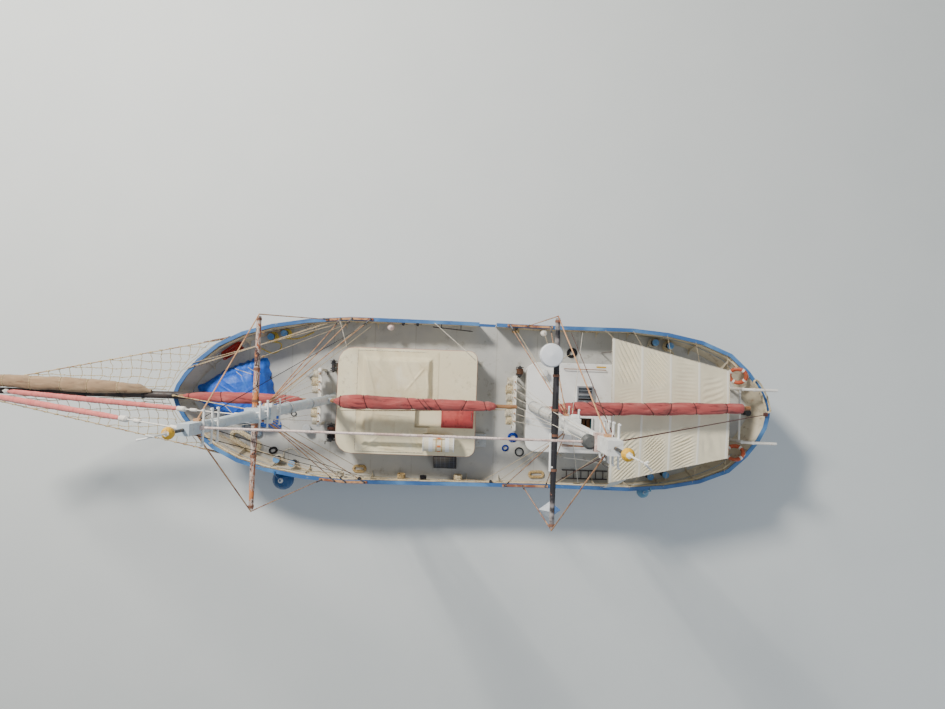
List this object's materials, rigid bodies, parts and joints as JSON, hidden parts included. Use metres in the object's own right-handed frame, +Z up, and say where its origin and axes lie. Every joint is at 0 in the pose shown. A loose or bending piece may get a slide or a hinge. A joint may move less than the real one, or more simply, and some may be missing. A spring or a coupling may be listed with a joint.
{
  "type": "two-masted gaff schooner",
  "caption": "Steel gaff schooner with furled sails on swinging booms, a long bowsprit, deckhouses, awning, rudder and propeller.",
  "frame": {"origin": "amidships on the centreline at the waterline", "axes": "+X towards the bow, +Y to port, +Z up"},
  "size_m": [27.3395, 6.3542, 18.75],
  "materials": {
    "hull_blue": "gloss, weathered",
    "deck_grey": "matt, worn",
    "bulwark_cream": "satin",
    "rail_blue": "satin, chipped",
    "propeller_bronze": "dull",
    "foremast_paint": "satin",
    "mainmast_paint": "satin",
    "truck_yellow": "gloss",
    "fore_spreader_rust": "peeling, rusty",
    "main_spreader_black": "weathered",
    "rigging_wire": "dull, rust stained",
    "radome_plastic": "gloss",
    "reflector_metal": "dull",
    "bowsprit_black": "weathered",
    "sail_bag_tan": "matt",
    "jib_salmon": "matt",
    "sail_terracotta": "matt",
    "fife_white": "satin",
    "spar_wood": "varnished",
    "house_cream": "satin",
    "hatch_red": "gloss",
    "canvas_cream": "matt",
    "raft_plastic": "satin",
    "house_white": "satin",
    "skylight_grey": "satin",
    "tube_steel": "dull",
    "tarp_blue": "satin",
    "wheel_wood": "varnished",
    "davit_white": "gloss",
    "fender_blue": "satin",
    "winch_black": "greasy, worn",
    "panel_dark": "gloss"
  },
  "bodies": {
    "hull": {"hull": "hull_blue", "deck": "deck_grey", "bulwark_port": "bulwark_cream", "cap_rail_port": "rail_blue", "bulwark_starboard_fore": "bulwark_cream", "cap_rail_starboard_fore": "rail_blue", "bulwark_starboard_aft": "bulwark_cream", "cap_rail_starboard_aft": "rail_blue", "foremast": "foremast_paint", "mainmast": "mainmast_paint", "fore_truck": "truck_yellow", "main_truck": "truck_yellow", "fore_spreader": "fore_spreader_rust", "main_spreader": "main_spreader_black", "fore_shrouds_port": "rigging_wire", "fore_shrouds_starboard": "rigging_wire", "main_shrouds_port": "rigging_wire", "main_shrouds_starboard": "rigging_wire", "masthead_stays": "rigging_wire", "radome": "radome_plastic", "radar_reflector": "reflector_metal", "bowsprit": "bowsprit_black", "bowsprit_stays": "rigging_wire", "forestay": "rigging_wire", "sail_bag": "sail_bag_tan", "inner_jib": "jib_salmon", "outer_jib": "jib_salmon", "fife_rail_fore": "fife_white", "fife_rail_main": "fife_white", "house_fore": "house_cream", "house_fore_roof": "house_cream", "house_tarpaulin": "canvas_cream", "liferaft": "raft_plastic", "house_aft": "house_white", "house_aft_roof": "house_white", "awning": "canvas_cream", "awning_frame": "tube_steel", "windlass_tarpaulin": "tarp_blue", "steering_stand": "house_white", "stern_davits": "davit_white", "fender_fore": "fender_blue", "fender_aft": "fender_blue", "solar_panel": "panel_dark", "winch_fore_port": "winch_black", "winch_fore_starboard": "winch_black", "winch_main": "winch_black"},
    "fore_boom": {"fore_boom": "spar_wood", "foresail": "sail_terracotta"},
    "main_boom": {"main_boom": "spar_wood", "mainsail": "sail_terracotta"},
    "staysail_boom": {"staysail_boom": "spar_wood", "staysail": "sail_terracotta"},
    "rudder": {"rudder": "hull_blue"},
    "propeller": {"propeller": "propeller_bronze"},
    "steering_wheel": {"steering_wheel": "wheel_wood"},
    "sliding_hatch": {"sliding_hatch": "hatch_red"},
    "skylight_lid": {"skylight_lid": "skylight_grey"},
    "house_aft_door": {"house_aft_door": "house_white"}
  },
  "joints": [
    {"name": "fore_boom_swing", "type": "hinge", "parent": "hull", "child": "fore_boom", "pos_m": [4.87, 0, 3.25], "axis": [0, 0, 1], "range_deg": [-50, 50]},
    {"name": "main_boom_swing", "type": "hinge", "parent": "hull", "child": "main_boom", "pos_m": [-2.33, 0, 3.75], "axis": [0, 0, 1], "range_deg": [-50, 50]},
    {"name": "staysail_boom_swing", "type": "hinge", "parent": "hull", "child": "staysail_boom", "pos_m": [9.9, 0, 3.48], "axis": [0, 0, 1], "range_deg": [-25, 25]},
    {"name": "rudder_swing", "type": "hinge", "parent": "hull", "child": "rudder", "pos_m": [-8.4, 0, -0.9], "axis": [0, 0, 1], "range_deg": [-35, 35]},
    {"name": "propeller_spin", "type": "hinge", "parent": "hull", "child": "propeller", "pos_m": [-7.85, 0, -0.95], "axis": [1, 0, 0], "continuous": true},
    {"name": "wheel_turn", "type": "hinge", "parent": "hull", "child": "steering_wheel", "pos_m": [-7.45, 0, 2.32], "axis": [1, 0, 0], "continuous": true},
    {"name": "hatch_slide", "type": "slide", "parent": "hull", "child": "sliding_hatch", "axis": [1, 0, 0], "range_m": [0, 0.9]},
    {"name": "skylight_lift", "type": "hinge", "parent": "hull", "child": "skylight_lid", "pos_m": [-3.51, -0.5, 2.79], "axis": [0, 1, 0], "range_deg": [0, 75]},
    {"name": "aft_door_swing", "type": "hinge", "parent": "hull", "child": "house_aft_door", "pos_m": [-5.29, 0.8, 2], "axis": [0, 0, -1], "range_deg": [0, 100]}
  ]
}
